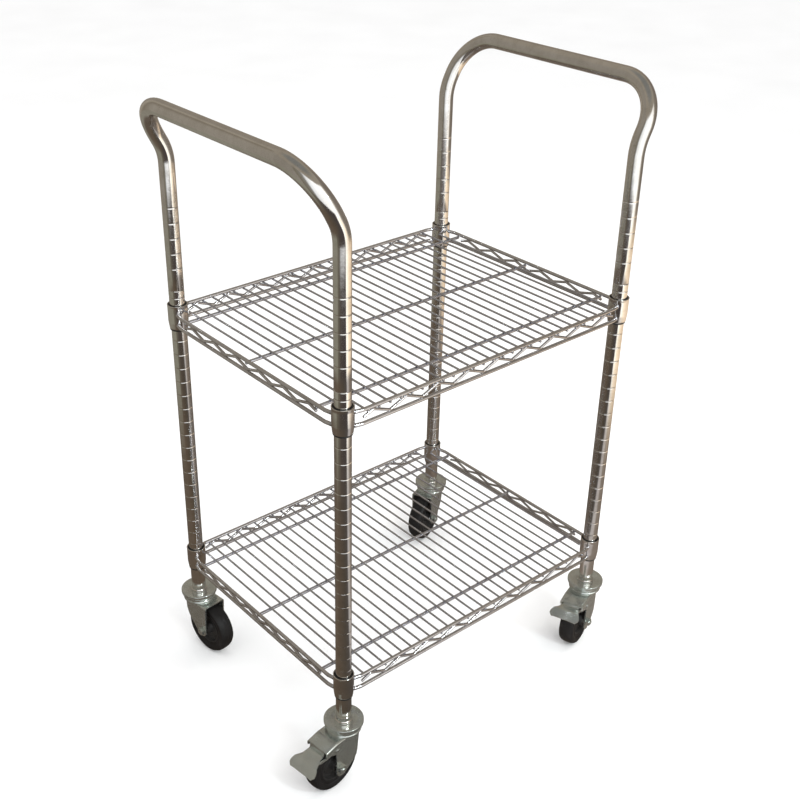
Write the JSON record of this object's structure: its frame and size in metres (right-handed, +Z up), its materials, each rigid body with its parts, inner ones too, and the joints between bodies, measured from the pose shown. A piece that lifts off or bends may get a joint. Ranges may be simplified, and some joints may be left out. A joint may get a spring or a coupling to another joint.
{
  "type": "wire shelf cart",
  "caption": "Two-tier chrome wire shelf cart on round posts, with a push handle leaning out at each end and swivel casters, brakes on the front ones.",
  "frame": {"origin": "on the floor, under the middle of the whole cart's outline", "axes": "+X along the long side of the shelves towards the right-hand handle, +Y along the short side away from the braked casters, +Z up"},
  "size_m": [0.738, 0.5203, 1.0516],
  "materials": {
    "tube": "bright chrome-plated steel tube",
    "wire": "chrome-plated steel wire, slightly duller than the tubes",
    "zinc": "zinc-plated pressed steel",
    "steel": "plain turned steel",
    "tyre": "matt black rubber",
    "core": "moulded black plastic",
    "sleeve": "black moulded plastic"
  },
  "bodies": {
    "cart": {"post_front_left": "tube", "stem_socket_front_left": "steel", "sleeve_upper_front_left": "sleeve", "sleeve_lower_front_left": "sleeve", "caster_stem_front_left": "zinc", "post_front_right": "tube", "stem_socket_front_right": "steel", "sleeve_upper_front_right": "sleeve", "sleeve_lower_front_right": "sleeve", "caster_stem_front_right": "zinc", "post_rear_left": "tube", "stem_socket_rear_left": "steel", "sleeve_upper_rear_left": "sleeve", "sleeve_lower_rear_left": "sleeve", "caster_stem_rear_left": "zinc", "post_rear_right": "tube", "stem_socket_rear_right": "steel", "sleeve_upper_rear_right": "sleeve", "sleeve_lower_rear_right": "sleeve", "caster_stem_rear_right": "zinc", "handle_left": "tube", "handle_right": "tube", "shelf_upper": "wire", "shelf_lower": "wire"},
    "swivel_front_left": {"fork_front_left": "zinc", "swivel_bearing_front_left": "steel", "axle_sleeve_front_left": "steel", "axle_bolt_front_left": "zinc", "axle_nut_front_left": "zinc", "brake_rivet_inner_front_left": "zinc", "brake_rivet_outer_front_left": "zinc"},
    "wheel_front_left": {"tyre_front_left": "tyre", "wheel_core_front_left": "core"},
    "brake_front_left": {"brake_pedal_front_left": "zinc"},
    "swivel_front_right": {"fork_front_right": "zinc", "swivel_bearing_front_right": "steel", "axle_sleeve_front_right": "steel", "axle_bolt_front_right": "zinc", "axle_nut_front_right": "zinc", "brake_rivet_inner_front_right": "zinc", "brake_rivet_outer_front_right": "zinc"},
    "wheel_front_right": {"tyre_front_right": "tyre", "wheel_core_front_right": "core"},
    "brake_front_right": {"brake_pedal_front_right": "zinc"},
    "swivel_rear_left": {"fork_rear_left": "zinc", "swivel_bearing_rear_left": "steel", "axle_sleeve_rear_left": "steel", "axle_bolt_rear_left": "zinc", "axle_nut_rear_left": "zinc"},
    "wheel_rear_left": {"tyre_rear_left": "tyre", "wheel_core_rear_left": "core"},
    "swivel_rear_right": {"fork_rear_right": "zinc", "swivel_bearing_rear_right": "steel", "axle_sleeve_rear_right": "steel", "axle_bolt_rear_right": "zinc", "axle_nut_rear_right": "zinc"},
    "wheel_rear_right": {"tyre_rear_right": "tyre", "wheel_core_rear_right": "core"}
  },
  "joints": [
    {"name": "swivel_front_left", "type": "hinge", "parent": "cart", "child": "swivel_front_left", "pos_m": [-0.2685, -0.2011, 0.11], "axis": [0, 0, 1], "continuous": true},
    {"name": "roll_front_left", "type": "hinge", "parent": "swivel_front_left", "child": "wheel_front_left", "pos_m": [-0.29828, -0.20476, 0.049], "axis": [0.1219, -0.9925, 0], "continuous": true},
    {"name": "brake_front_left", "type": "hinge", "parent": "swivel_front_left", "child": "brake_front_left", "pos_m": [-0.30423, -0.20549, 0.09], "axis": [0.1219, -0.9925, 0], "range_deg": [-18, 0]},
    {"name": "swivel_front_right", "type": "hinge", "parent": "cart", "child": "swivel_front_right", "pos_m": [0.3095, -0.2011, 0.11], "axis": [0, 0, 1], "continuous": true},
    {"name": "roll_front_right", "type": "hinge", "parent": "swivel_front_right", "child": "wheel_front_right", "pos_m": [0.28113, -0.21087, 0.049], "axis": [0.3256, -0.9455, 0], "continuous": true},
    {"name": "brake_front_right", "type": "hinge", "parent": "swivel_front_right", "child": "brake_front_right", "pos_m": [0.27546, -0.21282, 0.09], "axis": [0.3256, -0.9455, 0], "range_deg": [0, 18]},
    {"name": "swivel_rear_left", "type": "hinge", "parent": "cart", "child": "swivel_rear_left", "pos_m": [-0.2685, 0.2289, 0.11], "axis": [0, 0, 1], "continuous": true},
    {"name": "roll_rear_left", "type": "hinge", "parent": "swivel_rear_left", "child": "wheel_rear_left", "pos_m": [-0.26484, 0.19912, 0.049], "axis": [0.9925, 0.1219, 0], "continuous": true},
    {"name": "swivel_rear_right", "type": "hinge", "parent": "cart", "child": "swivel_rear_right", "pos_m": [0.3095, 0.2289, 0.11], "axis": [0, 0, 1], "continuous": true},
    {"name": "roll_rear_right", "type": "hinge", "parent": "swivel_rear_right", "child": "wheel_rear_right", "pos_m": [0.28168, 0.21766, 0.049], "axis": [0.3746, -0.9272, 0], "continuous": true}
  ]
}
